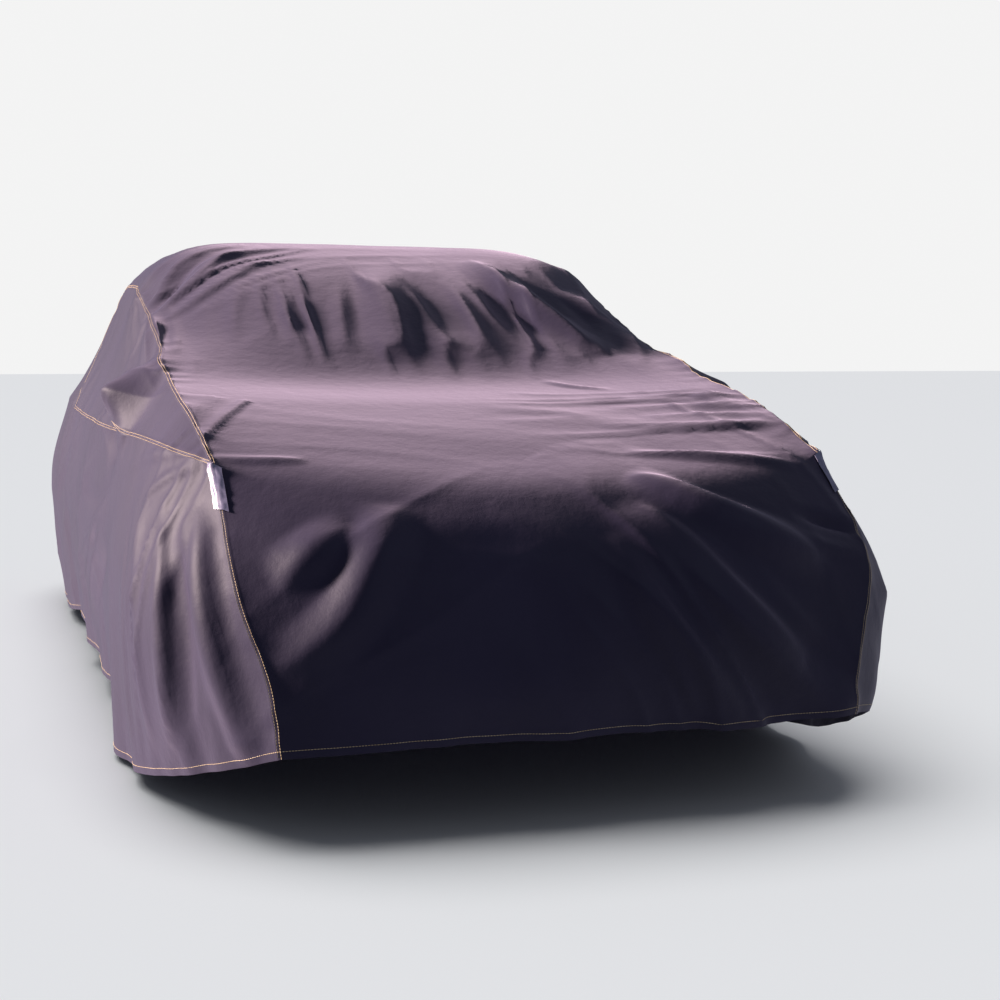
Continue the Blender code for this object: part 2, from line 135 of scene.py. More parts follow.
# Main folds: ridges with a positive height and troughs with a negative one.
FOLDS = (
    # name, half width, points of x, y, z and height
    ("bumper_strong", 0.09, ((0.20, -2.02, 0.82, 0.0), (0.35, -2.12, 0.74, 0.04),
                             (0.49, -2.15, 0.68, 0.045), (0.68, -2.15, 0.60, 0.0))),
    ("bumper_long", 0.10, ((0.13, -2.12, 0.76, 0.0), (0.34, -2.25, 0.53, 0.03),
                           (0.66, -2.22, 0.26, 0.03))),
    ("bumper_short", 0.09, ((0.18, -2.13, 0.75, 0.0), (0.40, -2.22, 0.53, 0.02),
                            (0.60, -2.23, 0.40, 0.0))),
    ("bumper_inner", 0.10, ((0.08, -2.19, 0.69, 0.0), (0.21, -2.27, 0.50, 0.025),
                            (0.40, -2.24, 0.25, 0.02))),
    ("bumper_hollow", 0.22, ((-0.45, -2.24, 0.55, 0.0), (-0.20, -2.26, 0.55, -0.025),
                             (0.05, -2.27, 0.55, 0.0))),
    ("swag_long", 0.09, ((-0.40, -2.08, 0.77, 0.0), (-0.45, -2.16, 0.68, 0.03),
                         (-0.53, -2.20, 0.54, 0.035), (-0.69, -2.17, 0.41, 0.0))),
    ("swag_short", 0.08, ((-0.69, -2.10, 0.61, 0.0), (-0.60, -2.11, 0.67, 0.025),
                          (-0.50, -2.11, 0.73, 0.0))),
    ("screen_ridge", 0.10, ((0.32, -0.25, 1.41, 0.0), (0.37, -0.51, 1.30, 0.03),
                            (0.45, -0.68, 1.21, 0.035), (0.57, -0.93, 1.09, 0.0))),
    ("screen_upright", 0.10, ((0.00, -0.28, 1.39, 0.0), (-0.07, -0.67, 1.23, 0.02),
                              (-0.11, -0.98, 1.07, 0.0))),
    ("pillar_swag", 0.09, ((0.59, -0.46, 1.31, 0.0), (0.67, -0.60, 1.20, 0.025),
                           (0.70, -0.90, 1.10, 0.0))),
    ("corner_ridge", 0.08, ((-0.82, -1.87, 0.76, 0.0), (-0.82, -1.97, 0.60, 0.03),
                            (-0.80, -2.04, 0.42, 0.035), (-0.76, -2.10, 0.26, 0.02))),
    ("corner_trough", 0.09, ((-0.86, -1.80, 0.74, 0.0), (-0.87, -1.90, 0.55, -0.025),
                             (-0.86, -1.93, 0.35, -0.025), (-0.83, -1.94, 0.14, -0.01))),
    ("mirror_fold", 0.09, ((-0.77, -0.46, 1.20, 0.0), (-0.84, -0.68, 1.12, 0.025),
                           (-0.95, -0.90, 1.03, 0.0))),
    ("under_mirror", 0.11, ((-0.93, -1.05, 0.90, 0.0), (-0.95, -0.88, 0.86, -0.035),
                            (-0.94, -0.60, 0.84, 0.0))),
)

# Upright folds of the hanging sides and the rear, from the widest line to the hem.
STANDING_FOLDS = (
    # side of the car, half width, then x, y of each fold and its height at the hem
    ("right", 0.13, ((0.93, -1.50, 0.02), (0.93, -1.20, 0.015), (0.94, -0.55, -0.02),
                     (0.94, 0.15, 0.02), (0.94, 0.85, -0.02), (0.94, 1.50, 0.02))),
    ("left", 0.13, ((0.92, -1.55, 0.02), (0.94, -1.05, -0.015), (0.94, -0.40, 0.02),
                    (0.94, 0.35, -0.02), (0.94, 1.10, 0.02), (0.93, 1.60, -0.015))),
    ("rear", 0.14, ((-0.45, 2.25, 0.02), (-0.10, 2.27, -0.02), (0.35, 2.26, 0.02))),
)
WIDEST_HEIGHT = 0.60
SILL_HEIGHT = 0.30

# Sharper creases. A positive lean tips the crest to the left of its run, seen from outside.
CREASES = (
    # name, half width, height, lean, points
    ("screen_a", 0.05, 0.009, 0.3,
     ((0.04, -0.48, 1.31), (0.06, -0.73, 1.20), (0.08, -0.97, 1.08))),
    ("screen_b", 0.045, 0.009, 0.3,
     ((0.17, -0.46, 1.32), (0.19, -0.70, 1.22), (0.20, -0.94, 1.09))),
    ("screen_c", 0.04, 0.008, -0.3,
     ((0.23, -0.48, 1.32), (0.26, -0.65, 1.24), (0.30, -0.84, 1.15))),
    ("screen_d", 0.05, 0.008, 0.3,
     ((-0.18, -0.50, 1.30), (-0.22, -0.72, 1.21), (-0.25, -0.92, 1.11))),
    ("screen_e", 0.045, 0.008, -0.3,
     ((-0.32, -0.44, 1.31), (-0.38, -0.68, 1.22), (-0.40, -0.88, 1.12))),
    ("screen_f", 0.045, 0.007, 0.3,
     ((-0.48, -0.42, 1.30), (-0.54, -0.64, 1.21), (-0.56, -0.82, 1.12))),
    ("screen_fall", 0.06, 0.02, 0.5,
     ((0.32, -0.27, 1.41), (0.37, -0.51, 1.32), (0.57, -0.93, 1.11))),
    ("roof_pull_low", 0.035, 0.016, 0.4,
     ((-0.76, -0.38, 1.23), (-0.70, -0.28, 1.31), (-0.62, -0.17, 1.38))),
    ("roof_pull_deep", 0.045, -0.024, 0.0,
     ((-0.76, -0.44, 1.21), (-0.67, -0.33, 1.31), (-0.54, -0.17, 1.40))),
    ("roof_pull_high", 0.04, 0.02, 0.4,
     ((-0.76, -0.49, 1.20), (-0.62, -0.36, 1.32), (-0.44, -0.14, 1.43))),
    ("roof_pull_far", 0.04, 0.014, 0.4,
     ((-0.74, -0.56, 1.19), (-0.58, -0.46, 1.29), (-0.36, -0.26, 1.39))),
    ("bonnet_a", 0.04, 0.014, 0.4, ((0.26, -1.67, 0.92), (0.54, -1.69, 0.92), (0.82, -1.68, 0.90))),
    ("bonnet_b", 0.045, 0.016, 0.4, ((0.25, -1.87, 0.86), (0.50, -1.91, 0.85), (0.71, -1.93, 0.83))),
    ("bonnet_c", 0.035, 0.012, 0.4, ((0.42, -1.41, 0.98), (0.67, -1.40, 0.98), (0.81, -1.43, 0.98))),
    ("bonnet_d", 0.035, 0.013, 0.4, ((0.40, -1.60, 0.94), (0.64, -1.60, 0.94), (0.81, -1.62, 0.91))),
    ("bonnet_e", 0.035, 0.011, 0.4, ((0.36, -1.50, 0.96), (0.62, -1.50, 0.96), (0.80, -1.53, 0.94))),
    ("bonnet_small", 0.03, 0.01, 0.3,
     ((0.30, -1.11, 1.02), (0.38, -1.20, 1.00), (0.46, -1.24, 1.00))),
    ("patch_pull", 0.035, 0.012, 0.3,
     ((-0.78, -1.83, 0.87), (-0.72, -1.85, 0.87), (-0.56, -1.88, 0.86))),
    ("grille_top", 0.045, 0.01, 0.3,
     ((-0.45, -2.18, 0.67), (-0.24, -2.21, 0.66), (-0.02, -2.23, 0.65))),
    ("swag_edge", 0.045, 0.008, 0.3,
     ((-0.68, -2.12, 0.60), (-0.60, -2.12, 0.67), (-0.50, -2.11, 0.73))),
    ("swag_low", 0.045, 0.01, 0.3,
     ((-0.44, -2.15, 0.70), (-0.50, -2.20, 0.56), (-0.70, -2.17, 0.41))),
    ("fall_a", 0.05, 0.022, 0.5, ((0.20, -2.02, 0.83), (0.42, -2.14, 0.72), (0.66, -2.15, 0.62))),
    ("fall_b", 0.05, 0.02, 0.4, ((0.18, -2.13, 0.77), (0.35, -2.25, 0.58), (0.57, -2.25, 0.38))),
    ("fall_c", 0.05, 0.02, 0.4, ((0.13, -2.14, 0.76), (0.34, -2.28, 0.53), (0.66, -2.24, 0.26))),
    ("fall_d", 0.05, 0.018, 0.4, ((0.08, -2.19, 0.70), (0.21, -2.30, 0.50), (0.40, -2.26, 0.26))),
    ("fall_e", 0.045, 0.015, 0.4, ((0.10, -2.24, 0.62), (0.18, -2.30, 0.46), (0.29, -2.26, 0.26))),
    ("fall_f", 0.05, 0.014, 0.4, ((0.40, -2.18, 0.66), (0.56, -2.20, 0.48), (0.72, -2.17, 0.34))),
    ("corner_pocket", 0.04, -0.03, 0.0,
     ((0.62, -2.09, 0.73), (0.74, -2.06, 0.69), (0.83, -2.04, 0.65))),
    ("corner_lip", 0.04, 0.022, -0.4,
     ((0.62, -2.12, 0.66), (0.75, -2.09, 0.62), (0.84, -2.05, 0.60))),
    ("corner_crest", 0.04, 0.016, 0.4,
     ((-0.82, -1.89, 0.74), (-0.82, -2.00, 0.58), (-0.77, -2.09, 0.28))),
    ("corner_hollow", 0.035, -0.014, 0.0,
     ((-0.79, -1.95, 0.72), (-0.80, -2.02, 0.56), (-0.74, -2.12, 0.25))),
    ("wing_a", 0.045, 0.018, 0.4,
     ((-0.84, -1.84, 0.74), (-0.86, -1.93, 0.52), (-0.83, -1.95, 0.18))),
    ("wing_b", 0.045, 0.016, 0.4,
     ((-0.87, -1.71, 0.78), (-0.91, -1.84, 0.54), (-0.89, -1.83, 0.16))),
    ("wing_c", 0.045, 0.015, -0.4,
     ((-0.91, -1.58, 0.76), (-0.95, -1.70, 0.48), (-0.92, -1.71, 0.14))),
    ("wing_d", 0.045, -0.02, 0.0,
     ((-0.92, -1.46, 0.70), (-0.95, -1.52, 0.46), (-0.93, -1.54, 0.10))),
    ("wing_top_a", 0.03, 0.012, 0.4,
     ((-0.80, -1.82, 0.85), (-0.86, -1.70, 0.82), (-0.91, -1.56, 0.74))),
    ("wing_top_b", 0.03, 0.011, 0.4,
     ((-0.81, -1.78, 0.87), (-0.89, -1.48, 0.85), (-0.94, -1.10, 0.77))),
    ("mirror_slit", 0.04, -0.035, 0.0,
     ((-0.97, -1.00, 1.02), (-0.98, -0.98, 0.96), (-0.96, -0.98, 0.90))),
    ("mirror_tent", 0.035, 0.018, 0.3,
     ((-0.77, -0.46, 1.20), (-0.88, -0.70, 1.12), (-1.00, -0.94, 1.04))),
    ("mirror_drop", 0.05, -0.03, 0.0,
     ((-0.96, -1.10, 0.88), (-0.98, -0.98, 0.84), (-0.96, -0.74, 0.72))),
    ("door_swag_a", 0.06, -0.03, 0.0,
     ((-0.95, -1.02, 0.80), (-0.97, -0.55, 0.66), (-0.96, -0.05, 0.62))),
    ("door_swag_b", 0.06, 0.024, 0.4,
     ((-0.95, -0.91, 0.68), (-0.96, -0.46, 0.56), (-0.95, 0.26, 0.36))),
    ("door_swag_c", 0.06, -0.026, 0.0,
     ((-0.95, -1.00, 0.56), (-0.96, -0.60, 0.42), (-0.95, -0.20, 0.20))),
    ("door_swag_d", 0.06, 0.02, 0.4,
     ((-0.94, -0.92, 0.91), (-0.96, -0.40, 0.78), (-0.95, 0.30, 0.60))),
    ("quarter_swag", 0.05, 0.018, 0.4,
     ((-0.92, 0.50, 0.82), (-0.96, 1.00, 0.62), (-0.95, 1.40, 0.40))),
    ("window_pull_a", 0.035, 0.014, 0.4,
     ((-0.78, 0.08, 1.22), (-0.79, -0.12, 1.25), (-0.75, -0.26, 1.28))),
    ("window_pull_b", 0.035, 0.013, 0.4,
     ((-0.84, -0.40, 1.08), (-0.80, -0.42, 1.15), (-0.76, -0.46, 1.20))),
)

# Fields of wrinkles.
WRINKLES = (
    # place, way they run, half length, half width, spacing, height
    ((0.10, -0.66, 1.23), (0, 0.9, 0.45), 0.50, 0.75, 0.055, 0.012),
    ((-0.55, -0.25, 1.36), (0.8, 0.5, 0.3), 0.45, 0.35, 0.05, 0.01),
    ((-0.20, 0.60, 1.47), (1, 0.15, 0), 0.70, 1.10, 0.11, 0.007),
    ((0.45, -1.58, 0.95), (1, 0, 0), 0.50, 0.45, 0.06, 0.009),
    ((-0.30, -1.50, 0.95), (1, -0.3, 0), 0.55, 0.50, 0.15, 0.004),
    ((0.35, -2.22, 0.50), (0.6, 0, -0.8), 0.60, 0.55, 0.09, 0.012),
    ((-0.35, -2.22, 0.50), (0.8, 0, 0.5), 0.50, 0.45, 0.12, 0.008),
    ((-0.90, -1.78, 0.60), (0, -0.25, 1), 0.60, 0.35, 0.06, 0.01),
    ((-0.95, -0.40, 0.70), (0, 0.9, -0.35), 0.90, 0.55, 0.11, 0.02),
    ((-0.95, 1.00, 0.55), (0, 0.7, -0.6), 0.80, 0.55, 0.11, 0.012),
    ((-0.85, -0.60, 1.05), (0, 0.8, 0.4), 0.60, 0.30, 0.06, 0.008),
    ((0.90, -1.80, 0.60), (0, -0.25, 1), 0.60, 0.40, 0.07, 0.01),
    ((0.95, -0.60, 0.70), (0, 0.9, -0.35), 0.90, 0.55, 0.11, 0.014),
    ((0.95, 0.90, 0.60), (0, 0.7, 0.5), 0.80, 0.55, 0.11, 0.012),
    ((0.00, 1.55, 1.27), (0, 0.8, -0.5), 0.50, 0.75, 0.07, 0.01),
    ((0.00, 2.26, 0.58), (0.3, 0, 1), 0.50, 0.80, 0.11, 0.012),
)

FOLD_STEPS = 12          # straight steps along each fold
CREASE_END = 0.7         # how bluntly a crease starts and ends
CREST_ROUNDING = 0.02
CREST_POWER = 1.8
# Wrinkles are this many spacings long and wander by this share of one, over this many of them.
# They fade where the cloth turns away, and their narrow crests stand above this level.
WRINKLE_LENGTH = 9
WRINKLE_WANDER = 0.35
WANDER_LENGTH, WANDER_WIDTH = 4, 3
WRINKLE_TURN = 1.5
WRINKLE_POWER = 3
WRINKLE_LEVEL = 0.2

# Along a seam: puckers (height, spacing, depth, fade), and the doubled cloth beside the dip.
PUCKERS = (0.0022, 0.035, 0.30, 0.045)
DOUBLED_HEIGHT, DOUBLED_AT, DOUBLED_HALF_WIDTH = 0.0010, 0.0055, 0.0045
SEAM_DIP, SEAM_DIP_WIDTH = 0.0012, 0.002
# Along a hem: its gathers and its slack, which end this far from the corner seams.
HEM_WAVES = (
    # height, spacing, depth, fade, seed
    (0.004, 0.06, 0.25, 0.10, 8),
    (0.006, 0.22, 0.50, 0.20, 9),
)
HEM_FREE_FROM = 0.12
HEM_TURN_HEIGHT, HEM_TURN_DEPTH, HEM_TURN_STEP = 0.0010, 0.022, 0.004
CRUMPLE = 0.0022         # of the reflective strips, with this many waves across and along
CRUMPLE_WAVES = (2.3, 4.5)
CRUMPLE_SEEDS = {"left": 31, "right": 32}
SHARP_ANGLE = 60         # degrees between faces that are shaded apart

# Thread, stitches and hem.
STITCH_PITCH = 0.007
STITCH_LENGTH = 0.0055
STITCH_OFFSET = 0.004
THREAD = 0.0016
STITCH_SECTIONS = ((0.0, 0.45), (0.5, 1.0), (1.0, 0.45))   # place along a stitch, share of its width
STITCH_RISE = 1.1        # of half its width
HEM_DEPTH = 0.018
FAR = 9.0                # farther than any seam

NAVY_DARK = (0.010, 0.008, 0.024)
NAVY_LIGHT = (0.015, 0.012, 0.034)
SHEEN_TINT = (0.86, 0.76, 0.98)
TAPE_DARK = (0.10, 0.095, 0.16)
TAPE_LIGHT = (0.19, 0.18, 0.27)
THREAD_DARK = (0.42, 0.30, 0.14)
THREAD_LIGHT = (0.66, 0.52, 0.30)
FLOOR_COLOUR = (0.86, 0.86, 0.86)
BACKDROP = (0.90, 0.90, 0.90)
FLOOR_REACH = 40

LIGHTS = (
    # name, what it lights, where it comes from, angle across in degrees, strength, colour
    ("key", "cover", (-1.0, 0.42, 0.38), 10, 14.0, (1.0, 0.80, 0.76)),
    ("fill", "cover", (0.6, -1.0, 0.9), 40, 0.45, (0.70, 0.76, 1.0)),
    ("floor_light", "floor", (-0.2, 0.1, 1.0), 60, 2.3, (1.0, 1.0, 1.0)),
)
SKY = (0.80, 0.86, 1.0)
SKY_STRENGTH = 0.22

CAMERA_PLACE = (-1.343, -5.794, 1.164)
CAMERA_YAW = 17.87
CAMERA_PITCH = -5.71
CAMERA_ROLL = 0.25
CAMERA_LENS = 60.5
CAMERA_REACH = 200


def smooth_rows(knots, rows, at):
    """A smooth curve through the rows, one for each knot, read at the places in at."""
    knots, rows, at = (np.asarray(values, float) for values in (knots, rows, at))
    step = np.diff(knots)
    slope = np.diff(rows, axis=0) / step[:, None]
    tangent = np.empty_like(rows)
    tangent[0], tangent[-1] = slope[0], slope[-1]
    weight = (step[1:] / (step[1:] + step[:-1]))[:, None]
    tangent[1:-1] = slope[:-1] * weight + slope[1:] * (1 - weight)
    span = np.clip(np.searchsorted(knots, at, side="right") - 1, 0, len(step) - 1)
    length = step[span][:, None]
    f = ((at - knots[span]) / step[span])[:, None]
    start, end = rows[span], rows[span + 1]
    return (start * (1 + 2 * f) * (1 - f) ** 2 + tangent[span] * length * f * (1 - f) ** 2
            + end * f * f * (3 - 2 * f) + tangent[span + 1] * length * f * f * (f - 1))


def distances(points):
    """Distance along a line of points, from its start."""
    return np.concatenate([[0], np.cumsum(np.linalg.norm(np.diff(points, axis=0), axis=1))])


def on_line(points, shares):
    """The smooth line through the points, read at these shares of its length."""
    along = distances(points)
    return smooth_rows(along, points, np.asarray(shares) * along[-1])


def relaxed(line, rounds):
    """The line with its bends eased, its ends kept."""
    line = line.copy()
    for _ in range(rounds):
        line[1:-1] = (line[:-2] + 2 * line[1:-1] + line[2:]) / 4
    return line


def finer(low, high, cells, beside):
    """Places from low to high, that many cells to each whole step, and more beside the seams."""
    places = np.linspace(low, high, round((high - low) * cells) + 1)
    return np.unique(np.concatenate([places, beside]).round(9))


class Cover:
    """The cover's surface as three grids: the centre, and each side above and below the belt."""

    def __init__(self):
        names = [row[0] for row in CENTRE]
        steps = [row[1] for row in CENTRE]
        middle = np.array([row[2:] for row in CENTRE])
        along = distances(middle[:, :2])
        coarse = np.concatenate([along[i] + (along[i + 1] - along[i]) * np.arange(count) / count
                                 for i, count in enumerate(steps[:-1])] + [along[-1:]])
        row_of = {name: sum(steps[:i]) for i, name in enumerate(names)}
        nose, tail, end = row_of["nose"], row_of["tail"], row_of["hem_rear"]
        upright, fine_until = row_of[UPRIGHT_SECTION], row_of[FINE_UNTIL]

        corner, belt_rows = np.array(BESIDE_CORNER), np.array(BESIDE_BELT)
        upright_rows, seam_columns = np.array(BESIDE_UPRIGHT), np.array(BESIDE_UPPER_SEAM)
        down = finer(0, BELOW_BELT, FINE, corner) / BELOW_BELT
        rows = np.concatenate([
            nose * (1 - down[:0:-1]),
            finer(nose, fine_until, FINE, nose + corner),
            finer(fine_until, tail, COARSE, np.concatenate(
                [upright - upright_rows, upright + upright_rows, tail - corner]))[1:],
            tail + (end - tail) * down[1:]])
        places = np.interp(rows, np.arange(end + 1), coarse)
        self.front = len(down) - 1
        self.rear = len(rows) - len(down)
        self.upright = int(np.argmin(np.abs(rows - upright))) - self.front
        body = slice(self.front, self.rear + 1)

        first, last = names.index("nose"), names.index("tail")
        seam = smooth_rows(along[first:last + 1], [row[1:] for row in UPPER_SEAM], places[body])
        stations = smooth_rows([row[0] for row in SIDE], [row[1:] for row in SIDE], seam[:, 3])
        belt = np.stack([stations[:, 0], seam[:, 3], stations[:, 1]], 1)
        below = np.array([on_line(np.vstack([belt[i], stations[i, 2:].reshape(3, 3)]), down)
                          for i in range(len(belt))])
        share = finer(0, ABOVE_BELT, FINE, np.concatenate([belt_rows, ABOVE_BELT - belt_rows]))
        share = (share / ABOVE_BELT)[None, :, None]
        above = seam[:, None, :3] * (1 - share) + belt[:, None] * share

        edge = np.vstack([below[0, :0:-1], seam[:, :3], below[-1, 1:]])
        soft_edge = relaxed(edge, EASING_ROUNDS)
        shape = smooth_rows(along, middle, places)
        t = finer(0, ACROSS, FINE, np.concatenate([seam_columns, ACROSS - seam_columns]))
        t = (2 * t / ACROSS - 1)[None, :]
        bow = np.abs(t) ** shape[:, 2:3]
        sharp = (np.abs(t) ** EDGE_SHARPNESS)[..., None]
        toward = soft_edge[:, None] * (1 - sharp) + edge[:, None] * sharp
        centre = np.stack([toward[..., 0] * t,
                           shape[:, :1] + (toward[..., 1] - shape[:, :1]) * bow,
                           shape[:, 1:2] + (toward[..., 2] - shape[:, 1:2]) * bow], 2)
        mirror = np.array([-1, 1, 1])
        self.grids = {"centre": centre,
                      "above_left": above, "below_left": below,
                      "above_right": above * mirror, "below_right": below * mirror}
        for grid in self.grids.values():
            grid += pushes_at(grid.reshape(-1, 3)).reshape(grid.shape)
        for displace in (main_folds, creases, wrinkles):
            normals = self.normals()
            self.move({name: displace(grid.reshape(-1, 3), normals[name].reshape(-1, 3))
                       for name, grid in self.grids.items()})
        normals = self.normals()
        self.move({name: seam_relief(self, name) * normals[name] for name in self.grids})

    def move(self, moves):
        """Moves the grid points, with the mean move where panels meet."""
        welded = weld(np.concatenate([grid.reshape(-1, 3) for grid in self.grids.values()]))
        together = np.concatenate([moves[name].reshape(-1, 3) for name in self.grids])
        total = np.zeros((welded.max() + 1, 3))
        np.add.at(total, welded, together)
        together = (total / np.bincount(welded)[:, None])[welded]
        start = 0
        for grid in self.grids.values():
            count = grid[..., 0].size
            grid += together[start:start + count].reshape(grid.shape)
            start += count

    def normals(self):
        """The outward normal at every grid point, the same on both panels along a seam."""
        points = np.concatenate([grid.reshape(-1, 3) for grid in self.grids.values()])
        welded = weld(points)
        total = np.zeros((welded.max() + 1, 3))
        start = 0
        for name, grid in self.grids.items():
            ids = start + np.arange(grid[..., 0].size).reshape(grid.shape[:2])
            start += ids.size
            corners = quads(ids, name)
            face = np.cross(points[corners[:, 2]] - points[corners[:, 0]],
                            points[corners[:, 3]] - points[corners[:, 1]])
            for corner in range(4):
                np.add.at(total, welded[corners[:, corner]], face)
        total /= np.linalg.norm(total, axis=1, keepdims=True)
        sizes = [grid[..., 0].size for grid in self.grids.values()]
        shared = np.split(total[welded], np.cumsum(sizes)[:-1])
        return {name: part.reshape(grid.shape)
                for (name, grid), part in zip(self.grids.items(), shared)}

    def seams(self, name):
        """For each seam of a grid: how far every point lies from it and where along the seam."""
        grid = self.grids[name]
        edge = distances(self.grids["centre"][:, 0 if "right" in name else -1])
        down = distances(self.grids["below_right" if "right" in name else "below_left"][0])
        if name == "centre":
            right = distances(grid[:, 0])[:, None]
            left = distances(grid[:, -1])[:, None]
            return [(from_edge(grid, 1, 0), right), (from_edge(grid, 1, -1), left)]
        along_body = (edge[self.front:self.rear + 1] - edge[self.front])[:, None]
        sewn = np.arange(len(grid))[:, None] <= self.upright
        if name.startswith("above"):
            upright = distances(grid[self.upright])[None, :]
            before = from_edge(grid[:self.upright + 1], 0, -1)
            after = from_edge(grid[self.upright:], 0, 0)
            return [(from_edge(grid, 1, 0), edge[self.front] + along_body),
                    (np.where(sewn, from_edge(grid, 1, -1), FAR), along_body),
                    (np.concatenate([before, after[1:]]), upright)]
        return [(np.where(sewn, from_edge(grid, 1, 0), FAR), along_body),
                (from_edge(grid, 0, 0), edge[self.front] - down[None, :]),
                (from_edge(grid, 0, -1), edge[self.rear] + down[None, :])]

    def hems(self, name):
        """The same for a grid's free edges."""
        grid = self.grids[name]
        if name == "centre":
            return [(from_edge(grid, 0, 0), distances(grid[0])[None, :]),
                    (from_edge(grid, 0, -1), distances(grid[-1])[None, :])]
        if name.startswith("below"):
            return [(from_edge(grid, 1, -1), distances(grid[:, -1])[:, None])]
        return []


def from_edge(grid, axis, end):
    """The distance of every grid point from one edge of the grid, along the grid's lines."""
    steps = np.linalg.norm(np.diff(grid, axis=axis), axis=2)
    if end == -1:
        steps = np.flip(steps, axis)
    total = np.cumsum(steps, axis)
    first = np.zeros_like(np.take(total, [0], axis))
    total = np.concatenate([first, total], axis)
    return np.flip(total, axis) if end == -1 else total


def weld(points):
    """The same number for every point at the same place."""
    return np.unique(np.round(points * 1e5).astype(int), axis=0, return_inverse=True)[1].ravel()


def quads(ids, name):
    """The grid's cells, their corners anticlockwise as seen from outside the car."""
    a, b, c, d = ids[:-1, :-1], ids[:-1, 1:], ids[1:, 1:], ids[1:, :-1]
    turn = (a, d, c, b) if name.endswith("right") else (a, b, c, d)
    return np.stack([corner.ravel() for corner in turn], 1)


def pushes_at(points):
    """How far the pushes move each point."""
    total = np.zeros_like(points)
    for _, x, y, z, push_x, push_y, push_z, reach in PUSHES:
        away = np.linalg.norm(points - (x, y, z), axis=1) / reach
        total += (np.clip(1 - away, 0, 1) ** 1.5)[:, None] * (push_x, push_y, push_z)
    return total


# ---- folds ----
def unit(vector):
    vector = np.asarray(vector, float)
    return vector / np.linalg.norm(vector)


def noise(u, v, seed):
    """Smooth noise from -1 to 1 with one wave to each unit of u and v."""
    lattice = np.random.RandomState(seed).uniform(-1, 1, (64, 64))
    cell_u, cell_v = np.floor(u).astype(int), np.floor(v).astype(int)
    f, g = u - cell_u, v - cell_v
    f, g = f * f * (3 - 2 * f), g * g * (3 - 2 * g)
    a, b = lattice[cell_u % 64, cell_v % 64], lattice[(cell_u + 1) % 64, cell_v % 64]
    c, d = lattice[cell_u % 64, (cell_v + 1) % 64], lattice[(cell_u + 1) % 64, (cell_v + 1) % 64]
    return (a * (1 - f) + b * f) * (1 - g) + (c * (1 - f) + d * f) * g


def near_line(points, line, reach):
    """For the points within reach of a line: which they are, how far, where along, and the run."""
    near = np.flatnonzero(np.all((points > line.min(0)[:3] - reach)
                                 & (points < line.max(0)[:3] + reach), axis=1))
    here = points[near]
    away, place = np.full(len(here), np.inf), np.zeros(len(here))
    runs, offset = np.zeros((len(here), 3)), np.zeros((len(here), 3))
    for k, (start, end) in enumerate(zip(line[:-1, :3], line[1:, :3])):
        run = end - start
        f = np.clip((here - start) @ run / (run @ run), 0, 1)
        gap = here - start - f[:, None] * run
        distance = np.linalg.norm(gap, axis=1)
        closer = distance < away
        away[closer], place[closer] = distance[closer], (k + f)[closer]
        runs[closer], offset[closer] = unit(run), gap[closer]
    return near, away, place, runs, offset


def all_folds():
    """The main folds, then the standing folds as ridges and troughs of their own."""
    rows = [(half_width, ridge) for _, half_width, ridge in FOLDS]
    for side, half_width, folds in STANDING_FOLDS:
        across = -1 if side == "right" else 1
        for x, y, height in folds:
            rows.append((half_width, ((across * x, y, WIDEST_HEIGHT, 0.0),
                                      (across * x, y, SILL_HEIGHT, height * 0.7),
                                      (across * x, y, 0.0, height))))
    return rows


def main_folds(points, normals):
    """How far the main folds move each point, along its normal."""
    heights = np.zeros(len(points))
    for half_width, ridge in all_folds():
        line = on_line(np.array(ridge), np.linspace(0, 1, FOLD_STEPS + 1))
        near, away, place, _, _ = near_line(points, line, half_width)
        height = np.interp(place, np.arange(FOLD_STEPS + 1), line[:, 3])
        heights[near] += height * np.clip(1 - (away / half_width) ** 2, 0, 1) ** 2
    return heights[:, None] * normals


def creases(points, normals):
    """Sharper ridges and troughs, which lean over to one side."""
    moves = np.zeros_like(points)
    for _, half_width, height, lean, ridge in CREASES:
        line = on_line(np.array(ridge), np.linspace(0, 1, FOLD_STEPS + 1))
        near, away, place, runs, _ = near_line(points, line, half_width)
        fade = np.sin(np.pi * np.clip(place / FOLD_STEPS, 0, 1)) ** CREASE_END
        crest = 1 - np.sqrt((away / half_width) ** 2 + CREST_ROUNDING)
        rise = height * fade * np.clip(crest, 0, 1) ** CREST_POWER
        side = np.cross(normals[near], runs)
        moves[near] += rise[:, None] * (normals[near] + lean * side)
    return moves


def wrinkles(points, normals):
    """Fields of long uneven wrinkles that run one way and fade at the field's edge."""
    moves = np.zeros_like(points)
    for seed, (place, way, half_length, half_width, spacing, height) in enumerate(WRINKLES):
        place, way = np.array(place), unit(way)
        reach = max(half_length, half_width)
        near = np.flatnonzero(np.linalg.norm(points - place, axis=1) < reach)
        here = points[near] - place
        facing = unit(normals[near].mean(0))
        across = unit(np.cross(facing, way))
        u, v = here @ across, here @ way
        inside = np.clip(1 - (u / half_width) ** 2 - (v / half_length) ** 2, 0, 1)
        inside *= np.clip(normals[near] @ facing * WRINKLE_TURN, 0, 1)
        shift = WRINKLE_WANDER * noise(v / (spacing * WANDER_LENGTH) + 9,
                                       u / (spacing * WANDER_WIDTH) + 5, seed + 50)
        waves = noise(u / spacing + 20 + shift, v / (spacing * WRINKLE_LENGTH) + 20, seed)
        ridges = (1 - np.abs(waves)) ** WRINKLE_POWER - WRINKLE_LEVEL
        moves[near] += (height * inside * ridges)[:, None] * normals[near]
    return moves


